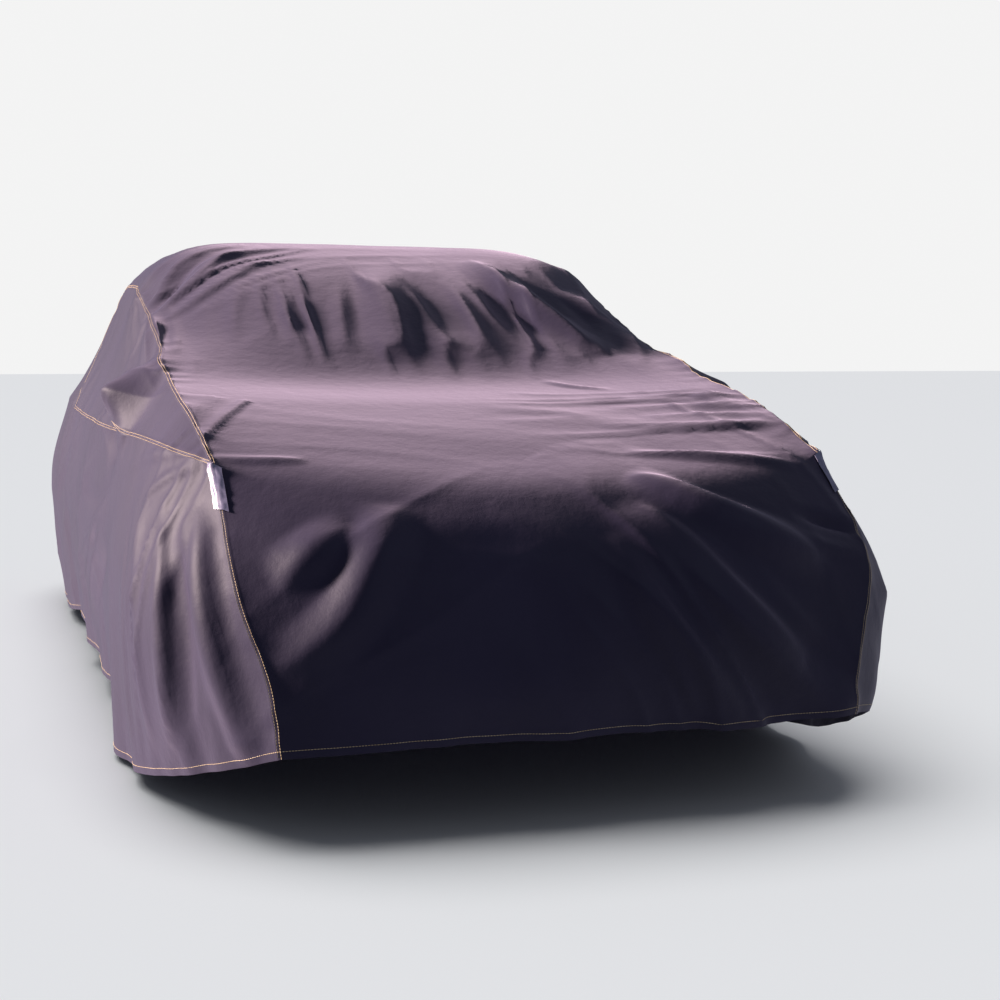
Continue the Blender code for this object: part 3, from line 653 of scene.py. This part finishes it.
def seam_relief(cover, name):
    """Along the seams the cloth lies double and puckers; the hem is turned up and gathered."""
    height = np.zeros(cover.grids[name].shape[:2])
    pucker_height, spacing, depth, fade = PUCKERS
    for away, along in cover.seams(name):
        pucker = noise(along / spacing + 30, away / depth + 30, 7) * np.exp(-away / fade)
        double = np.clip(1 - np.abs(away - DOUBLED_AT) / DOUBLED_HALF_WIDTH, 0, 1)
        height += pucker_height * pucker + DOUBLED_HEIGHT * double
        height -= SEAM_DIP * np.exp(-(away / SEAM_DIP_WIDTH) ** 2)
    for away, along in cover.hems(name):
        free = (np.clip(along / HEM_FREE_FROM, 0, 1)
                * np.clip((along.max() - along) / HEM_FREE_FROM, 0, 1))
        for wave_height, spacing, depth, fade, seed in HEM_WAVES:
            wave = noise(along / spacing + 15, away / depth + 15, seed)
            height += free * wave_height * wave * np.exp(-away / fade)
        height += HEM_TURN_HEIGHT * np.clip((HEM_TURN_DEPTH - away) / HEM_TURN_STEP, 0, 1)
    return height[..., None]


# ---- pieces ----
def panel_cells(cover):
    """Each panel's points, normals and cells: the grids or parts of grids it is cut from."""
    normals = cover.normals()
    front, upright = slice(0, cover.upright + 1), slice(cover.upright, None)
    cut = {"centre_panel": (("centre", slice(None)),)}
    for side in ("left", "right"):
        cut["window_panel_" + side] = (("above_" + side, front),)
        cut["side_panel_" + side] = (("below_" + side, slice(None)), ("above_" + side, upright))
    panels = {}
    for panel, grids in cut.items():
        points, outward, cells = [], [], []
        start = 0
        for name, rows in grids:
            part = cover.grids[name][rows]
            ids = start + np.arange(part[..., 0].size).reshape(part.shape[:2])
            start += ids.size
            points.append(part.reshape(-1, 3))
            outward.append(normals[name][rows].reshape(-1, 3))
            cells.append(quads(ids, name))
        panels[panel] = np.concatenate(points), np.concatenate(outward), np.concatenate(cells)
    return panels


def triangles_of(points, cells):
    """Each cell in two triangles, across its shorter diagonal."""
    a, b, c, d = cells.T
    first = (np.linalg.norm(points[a] - points[c], axis=1)
             <= np.linalg.norm(points[b] - points[d], axis=1))[:, None]
    halves = (np.where(first, np.stack([a, b, c], 1), np.stack([a, b, d], 1)),
              np.where(first, np.stack([a, c, d], 1), np.stack([b, c, d], 1)))
    return np.concatenate(halves)


def open_edges(faces):
    """The edges that only one triangle has, in the direction it has them."""
    edges = np.concatenate([faces[:, (0, 1)], faces[:, (1, 2)], faces[:, (2, 0)]])
    size = int(faces.max()) + 1
    forward, backward = edges[:, 0] * size + edges[:, 1], edges[:, 1] * size + edges[:, 0]
    return edges[~np.isin(forward, backward)]


def cloth_panels(cover):
    """A closed sheet for each panel: its points and triangles."""
    panels = panel_cells(cover)
    everything = weld(np.concatenate([points for points, _, _ in panels.values()]))
    sheets, users = {}, {}
    start = 0
    for name, (points, outward, cells) in panels.items():
        places = everything[start:start + len(points)]
        start += len(points)
        kept, first, local = np.unique(places, return_index=True, return_inverse=True)
        faces = local.ravel()[triangles_of(points, cells)]
        whole = ((faces[:, 0] != faces[:, 1]) & (faces[:, 1] != faces[:, 2])
                 & (faces[:, 2] != faces[:, 0]))
        border = open_edges(faces[whole])
        sheets[name] = points[first], outward[first], faces[whole], border
        for a, b in border:
            users.setdefault(frozenset((kept[a], kept[b])), []).append((name, a, b))
    seams = {name: [] for name in sheets}
    for sharing in users.values():
        if len(sharing) == 2:
            for name, a, b in sharing:
                seams[name].append((a, b))
    return {name: closed_sheet(*sheet, sorted(seams[name]), CLOTH)
            for name, sheet in sheets.items()}


def closed_sheet(points, outward, faces, border, seams, thickness):
    """The sheet's two faces and its rim, with its sewn edges drawn back by half the seam gap."""
    inward = {}
    for a, b in seams:
        side = np.cross(outward[a] + outward[b], points[b] - points[a])
        for end in (a, b):
            inward.setdefault(end, []).append(unit(side))
    points = points.copy()
    for end, sides in inward.items():
        between = sum(sides)
        points[end] += between * (SEAM_GAP / 2 * len(sides) / max(between @ between, 0.05))
    count = len(points)
    a, b = np.asarray(border).T
    rim = np.concatenate([np.stack([b, a, a + count], 1), np.stack([b, a + count, b + count], 1)])
    return (np.concatenate([points, points - thickness * outward]),
            np.concatenate([faces, faces[:, ::-1] + count, rim]))


def at_distance(line, normals, distance):
    """The point and the normal that far along a line of grid points."""
    along = distances(line)
    both = np.hstack([line, normals])
    return np.array([np.interp(distance, along, both[:, k]) for k in range(6)])


def corner_patch(cover, side, columns=12, rows=30):
    """The strip over the top of a front corner seam, bent over the corner with the cloth."""
    normals = cover.normals()
    width, length = PATCH_SIZE
    below, below_normals = cover.grids["below_" + side], normals["below_" + side]
    flip = slice(None, None, -1) if side == "left" else slice(None)
    centre, centre_normals = cover.grids["centre"][:, flip], normals["centre"][:, flip]
    seam_at = distances(below[0])
    near = 12 * FINE // 2
    points = np.empty((rows + 1, columns + 1, 3))
    outward = np.empty_like(points)
    for row, down in enumerate(np.linspace(0.002, length, rows + 1)):
        line = int(np.searchsorted(seam_at, down, side="right")) - 1
        share = (down - seam_at[line]) / (seam_at[line + 1] - seam_at[line])
        for column, across in enumerate(np.linspace(-width / 2, width / 2, columns + 1)):
            if across < 0:
                pair = [at_distance(centre[cover.front - j, :near],
                                    centre_normals[cover.front - j, :near], -across)
                        for j in (line, line + 1)]
            else:
                pair = [at_distance(below[:near, j], below_normals[:near, j], across)
                        for j in (line, line + 1)]
            place = pair[0] * (1 - share) + pair[1] * share
            points[row, column], outward[row, column] = place[:3], unit(place[3:])
    u, v = np.meshgrid(np.arange(columns + 1) / columns, np.arange(rows + 1) / rows)
    waves = noise(u * CRUMPLE_WAVES[0] + 3, v * CRUMPLE_WAVES[1] + 3, CRUMPLE_SEEDS[side])
    crumple = CRUMPLE * (1 - np.abs(waves))
    points += outward * (PATCH_LIFT + crumple)[..., None]
    ids = np.arange(points[..., 0].size).reshape(points.shape[:2])[:, flip]
    cells = quads(ids, "patch")
    points, outward = points.reshape(-1, 3), outward.reshape(-1, 3)
    faces = triangles_of(points, cells)
    return closed_sheet(points, outward, faces, open_edges(faces), [], PATCH_THICKNESS)


def stitches(line, outward):
    """A row of raised stitches along a line on the cloth."""
    along = distances(line)
    count = int(along[-1] / STITCH_PITCH)
    starts = (np.arange(count) + 0.1) * STITCH_PITCH
    parts, faces = [], []
    for share, size in STITCH_SECTIONS:
        at = starts + share * STITCH_LENGTH
        place = np.stack([np.interp(at, along, line[:, k]) for k in range(3)], 1)
        up = np.stack([np.interp(at, along, outward[:, k]) for k in range(3)], 1)
        ahead = np.stack([np.interp(at + 0.001, along, line[:, k]) for k in range(3)], 1) - place
        side = np.cross(up, ahead)
        side /= np.maximum(np.linalg.norm(side, axis=1, keepdims=True), 1e-9)
        half = THREAD / 2 * size
        parts.append(np.stack([place - half * side, place + half * side,
                               place + STITCH_RISE * half * up], 1))
    points = np.stack(parts, 1)
    ids = np.arange(count * 9).reshape(count, 3, 3)
    for station in (0, 1):
        for corner in range(3):
            a, b = ids[:, station, corner], ids[:, station, (corner + 1) % 3]
            c, d = ids[:, station + 1, (corner + 1) % 3], ids[:, station + 1, corner]
            faces += [np.stack([a, b, c], 1), np.stack([a, c, d], 1)]
    faces += [ids[:, 0, ::-1], ids[:, 2]]
    return points.reshape(-1, 3), np.concatenate(faces)


def beside(grid, normals, axis, end, offset):
    """The line on a grid that runs beside one of its edges, that far in from it."""
    if axis == 0:
        grid, normals = grid.transpose(1, 0, 2), normals.transpose(1, 0, 2)
    if end == -1:
        grid, normals = grid[:, ::-1], normals[:, ::-1]
    keep = [row for row in range(len(grid)) if distances(grid[row])[-1] > 2 * offset]
    both = np.array([at_distance(grid[row], normals[row], offset) for row in keep])
    return both[:, :3], both[:, 3:]


def stitch_lines(cover):
    """The two rows of top-stitching along every seam, and the one along every hem."""
    normals = cover.normals()
    grids = cover.grids
    rows = []

    def add(name, part, axis, end, offset=STITCH_OFFSET):
        rows.append(beside(grids[name][part], normals[name][part], axis, end, offset))

    sewn = slice(0, cover.upright + 1)
    everywhere = slice(None)
    for end in (0, -1):
        add("centre", everywhere, 1, end)
        add("centre", everywhere, 0, end, HEM_DEPTH)
    for side in ("left", "right"):
        above, below = "above_" + side, "below_" + side
        add(above, everywhere, 1, 0)
        add(above, sewn, 1, -1)
        add(below, sewn, 1, 0)
        add(above, sewn, 0, -1)
        add(above, slice(cover.upright, None), 0, 0)
        add(below, everywhere, 0, 0)
        add(below, everywhere, 0, -1)
        add(below, everywhere, 1, -1, HEM_DEPTH)
    return rows


# ---- materials ----
def new_material(name):
    """A material, its nodes and links, and its shader."""
    made = bpy.data.materials.new(name)
    made.use_nodes = True
    nodes = made.node_tree.nodes
    return made, nodes, made.node_tree.links, nodes["Principled BSDF"]


def place_node(nodes):
    """Object coordinates, so that the grain keeps its size on every piece."""
    return nodes.new("ShaderNodeTexCoord").outputs["Object"]


def noise_node(nodes, links, place, scale, detail, roughness=0.5):
    """Noise over the surface, with that many waves to a metre."""
    node = nodes.new("ShaderNodeTexNoise")
    node.inputs["Scale"].default_value = scale
    node.inputs["Detail"].default_value = detail
    node.inputs["Roughness"].default_value = roughness
    links.new(place, node.inputs["Vector"])
    return node.outputs["Fac"]


def mixed(nodes, links, factor, low, high):
    """A colour between two, as the noise goes from low to high."""
    ramp = nodes.new("ShaderNodeValToRGB")
    ramp.color_ramp.elements[0].position = 0.3
    ramp.color_ramp.elements[1].position = 0.7
    ramp.color_ramp.elements[0].color = (*low, 1)
    ramp.color_ramp.elements[1].color = (*high, 1)
    links.new(factor, ramp.inputs["Fac"])
    return ramp.outputs["Color"]


def bump(nodes, links, height, strength, distance, under=None):
    """Relief from a height, on top of the relief under it."""
    node = nodes.new("ShaderNodeBump")
    node.inputs["Strength"].default_value = strength
    node.inputs["Distance"].default_value = distance
    links.new(height, node.inputs["Height"])
    if under is not None:
        links.new(under, node.inputs["Normal"])
    return node.outputs["Normal"]


def cloth_material():
    """Thin coated navy polyester: a fine weave, faint crinkles and a soft mauve sheen."""
    made, nodes, links, shader = new_material("navy_cloth")
    place = place_node(nodes)
    broad = noise_node(nodes, links, place, scale=2.2, detail=4)
    links.new(mixed(nodes, links, broad, NAVY_DARK, NAVY_LIGHT), shader.inputs["Base Color"])
    worn = noise_node(nodes, links, place, scale=9, detail=5)
    rough = nodes.new("ShaderNodeMapRange")
    rough.inputs["To Min"].default_value = 0.50
    rough.inputs["To Max"].default_value = 0.66
    links.new(worn, rough.inputs["Value"])
    links.new(rough.outputs["Result"], shader.inputs["Roughness"])
    crinkle = noise_node(nodes, links, place, scale=26, detail=5, roughness=0.6)
    weave = noise_node(nodes, links, place, scale=900, detail=1)
    soft = bump(nodes, links, crinkle, strength=0.25, distance=0.006)
    relief = bump(nodes, links, weave, strength=0.25, distance=0.0004, under=soft)
    links.new(relief, shader.inputs["Normal"])
    shader.inputs["Sheen Weight"].default_value = 0.30
    shader.inputs["Sheen Roughness"].default_value = 0.45
    shader.inputs["Sheen Tint"].default_value = (*SHEEN_TINT, 1)
    shader.inputs["Specular IOR Level"].default_value = 0.15
    return made


def reflective_material():
    """Pale reflective tape, a little scuffed."""
    made, nodes, links, shader = new_material("reflective_strip")
    place = place_node(nodes)
    scuffs = noise_node(nodes, links, place, scale=60, detail=6, roughness=0.65)
    links.new(mixed(nodes, links, scuffs, TAPE_DARK, TAPE_LIGHT), shader.inputs["Base Color"])
    grain = noise_node(nodes, links, place, scale=1400, detail=1)
    links.new(bump(nodes, links, grain, strength=0.3, distance=0.0003), shader.inputs["Normal"])
    shader.inputs["Roughness"].default_value = 0.38
    return made


def thread_material():
    """Cream and gold sewing thread."""
    made, nodes, links, shader = new_material("gold_thread")
    place = place_node(nodes)
    shade = noise_node(nodes, links, place, scale=40, detail=3)
    links.new(mixed(nodes, links, shade, THREAD_DARK, THREAD_LIGHT), shader.inputs["Base Color"])
    shader.inputs["Roughness"].default_value = 0.55
    return made


# ---- building ----
def add_piece(name, points, faces, finish, stands_for=()):
    """A mesh piece that rides on the one body and may stand for CAD nodes."""
    mesh = bpy.data.meshes.new(name)
    mesh.from_pydata((points - ROOF_REST).tolist(), [], faces.tolist())
    mesh.materials.append(finish)
    mesh.shade_smooth()
    mesh.set_sharp_from_angle(angle=np.radians(SHARP_ANGLE))
    piece = bpy.data.objects.new(name, mesh)
    bpy.context.scene.collection.objects.link(piece)
    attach(piece, "root")
    if stands_for:
        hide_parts(*stands_for)
    return piece


def build_cover():
    """Every piece of the cover."""
    cover = Cover()
    cloth, tape, thread = cloth_material(), reflective_material(), thread_material()
    panels = {}
    for name, (points, faces) in cloth_panels(cover).items():
        panels[name] = add_piece(name + "_cloth", points, faces, cloth, (name,))
    patches = {}
    for side in ("left", "right"):
        name = "corner_patch_" + side
        points, faces = corner_patch(cover, side)
        patches[side] = add_piece(name + "_tape", points, faces, tape, (name,))
    points, faces, count = [], [], 0
    for line, outward in stitch_lines(cover):
        row_points, row_faces = stitches(line, outward)
        points.append(row_points)
        faces.append(row_faces + count)
        count += len(row_points)
    sewing = add_piece("top_stitching", np.concatenate(points), np.concatenate(faces),
                       thread)
    return [*panels.values(), *patches.values(), sewing]


def stage(cover_pieces):
    """A plain pale floor on the ground, with lights for the cover and one for the floor."""
    mesh = bpy.data.meshes.new("floor")
    ground = -ROOF_REST[2]
    corners = [(-1, -1), (1, -1), (1, 1), (-1, 1)]
    mesh.from_pydata([(x * FLOOR_REACH, y * FLOOR_REACH, ground) for x, y in corners],
                     [], [(0, 1, 2, 3)])
    finish = bpy.data.materials.new("floor")
    finish.use_nodes = True
    shader = finish.node_tree.nodes["Principled BSDF"]
    shader.inputs["Base Color"].default_value = (*FLOOR_COLOUR, 1)
    shader.inputs["Roughness"].default_value = 0.9
    mesh.materials.append(finish)
    floor = bpy.data.objects.new("floor", mesh)
    bpy.context.scene.collection.objects.link(floor)

    floor.visible_diffuse = False
    world = bpy.data.worlds.new("studio")
    world.use_nodes = True
    nodes, links = world.node_tree.nodes, world.node_tree.links
    sky, seen = nodes["Background"], nodes.new("ShaderNodeBackground")
    sky.inputs["Color"].default_value = (*SKY, 1)
    sky.inputs["Strength"].default_value = SKY_STRENGTH
    seen.inputs["Color"].default_value = (*BACKDROP, 1)
    either, path = nodes.new("ShaderNodeMixShader"), nodes.new("ShaderNodeLightPath")
    links.new(path.outputs["Is Camera Ray"], either.inputs["Fac"])
    links.new(sky.outputs["Background"], either.inputs[1])
    links.new(seen.outputs["Background"], either.inputs[2])
    links.new(either.outputs["Shader"], nodes["World Output"].inputs["Surface"])
    bpy.context.scene.world = world
    bpy.context.scene.view_settings.view_transform = "Standard"

    lit = {"floor": [floor], "cover": cover_pieces}
    for name, group, source, angle, strength, colour in LIGHTS:
        lamp = bpy.data.lights.new(name, "SUN")
        lamp.angle = np.radians(angle)
        lamp.energy = strength
        lamp.color = colour
        light = bpy.data.objects.new(name, lamp)
        light.rotation_euler = Vector(source).to_track_quat("Z", "Y").to_euler()
        bpy.context.scene.collection.objects.link(light)
        receivers = bpy.data.collections.new(name + "_receivers")
        for piece in lit[group]:
            receivers.objects.link(piece)
        light.light_linking.receiver_collection = receivers


def camera():
    """The camera, low in front of the car's right side."""
    yaw, pitch, roll = np.radians((CAMERA_YAW, CAMERA_PITCH, CAMERA_ROLL))
    ahead = Vector((np.sin(yaw) * np.cos(pitch), np.cos(yaw) * np.cos(pitch), np.sin(pitch)))
    right = Vector((np.cos(yaw), -np.sin(yaw), 0))
    up = right.cross(ahead)
    turned_right = right * np.cos(roll) + up * np.sin(roll)
    turned_up = up * np.cos(roll) - right * np.sin(roll)
    lens = bpy.data.cameras.new("camera")
    lens.lens = CAMERA_LENS
    lens.clip_end = CAMERA_REACH
    eye = bpy.data.objects.new("camera", lens)
    place = Vector(CAMERA_PLACE) - Vector(ROOF_REST)
    eye.matrix_world = Matrix.Translation(place) @ Matrix(
        (turned_right, turned_up, -ahead)).transposed().to_4x4()
    bpy.context.scene.collection.objects.link(eye)
    bpy.context.scene.camera = eye


camera()
stage(build_cover())
